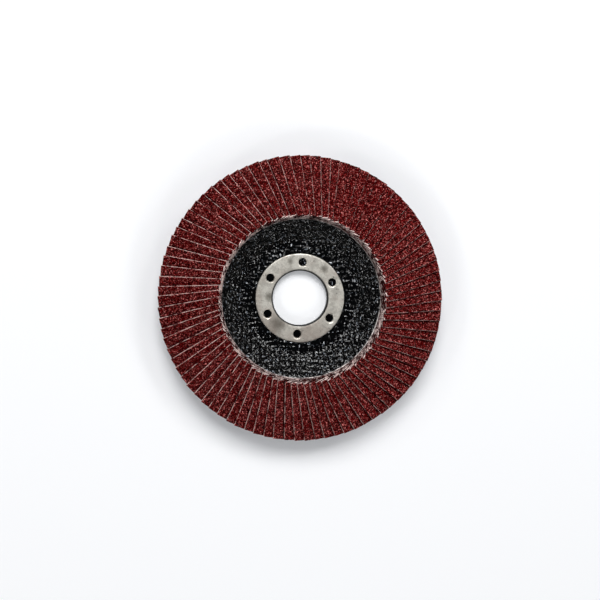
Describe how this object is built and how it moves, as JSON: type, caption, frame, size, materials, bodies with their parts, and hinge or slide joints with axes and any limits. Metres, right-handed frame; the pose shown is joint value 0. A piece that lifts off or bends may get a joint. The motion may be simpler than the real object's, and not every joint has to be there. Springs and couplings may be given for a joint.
{
  "type": "flap disc",
  "caption": "Conical flap disc for an angle grinder: overlapping abrasive cloth flaps glued round a dished glass-fibre plate with a steel eyelet in its bore.",
  "frame": {"origin": "centre of the bore at the hub's back face, on which the disc lies", "axes": "+Z along the bore's axis, from the hub's back face towards the abrasive face"},
  "size_m": [0.115, 0.115, 0.0153],
  "materials": {
    "glass_fibre_resin": "gloss",
    "pressed_steel": "satin",
    "adhesive": "matte",
    "abrasive_cloth": "matte"
  },
  "bodies": {
    "root": {"backing_plate": "glass_fibre_resin", "eyelet": "pressed_steel", "adhesive_bed": "adhesive", "flap_pair_01": "abrasive_cloth", "flap_pair_02": "abrasive_cloth", "flap_pair_03": "abrasive_cloth", "flap_pair_04": "abrasive_cloth", "flap_pair_05": "abrasive_cloth", "flap_pair_06": "abrasive_cloth", "flap_pair_07": "abrasive_cloth", "flap_pair_08": "abrasive_cloth", "flap_pair_09": "abrasive_cloth", "flap_pair_10": "abrasive_cloth", "flap_pair_11": "abrasive_cloth", "flap_pair_12": "abrasive_cloth", "flap_pair_13": "abrasive_cloth", "flap_pair_14": "abrasive_cloth", "flap_pair_15": "abrasive_cloth", "flap_pair_16": "abrasive_cloth", "flap_pair_17": "abrasive_cloth", "flap_pair_18": "abrasive_cloth", "flap_pair_19": "abrasive_cloth", "flap_pair_20": "abrasive_cloth", "flap_pair_21": "abrasive_cloth", "flap_pair_22": "abrasive_cloth", "flap_pair_23": "abrasive_cloth", "flap_pair_24": "abrasive_cloth", "flap_pair_25": "abrasive_cloth", "flap_pair_26": "abrasive_cloth", "flap_pair_27": "abrasive_cloth", "flap_pair_28": "abrasive_cloth", "flap_pair_29": "abrasive_cloth", "flap_pair_30": "abrasive_cloth", "flap_pair_31": "abrasive_cloth", "flap_pair_32": "abrasive_cloth", "flap_pair_33": "abrasive_cloth", "flap_pair_34": "abrasive_cloth", "flap_pair_35": "abrasive_cloth", "flap_pair_36": "abrasive_cloth", "flap_pair_37": "abrasive_cloth", "flap_pair_38": "abrasive_cloth", "flap_pair_39": "abrasive_cloth", "flap_pair_40": "abrasive_cloth", "flap_pair_41": "abrasive_cloth", "flap_pair_42": "abrasive_cloth", "flap_pair_43": "abrasive_cloth"}
  },
  "joints": []
}
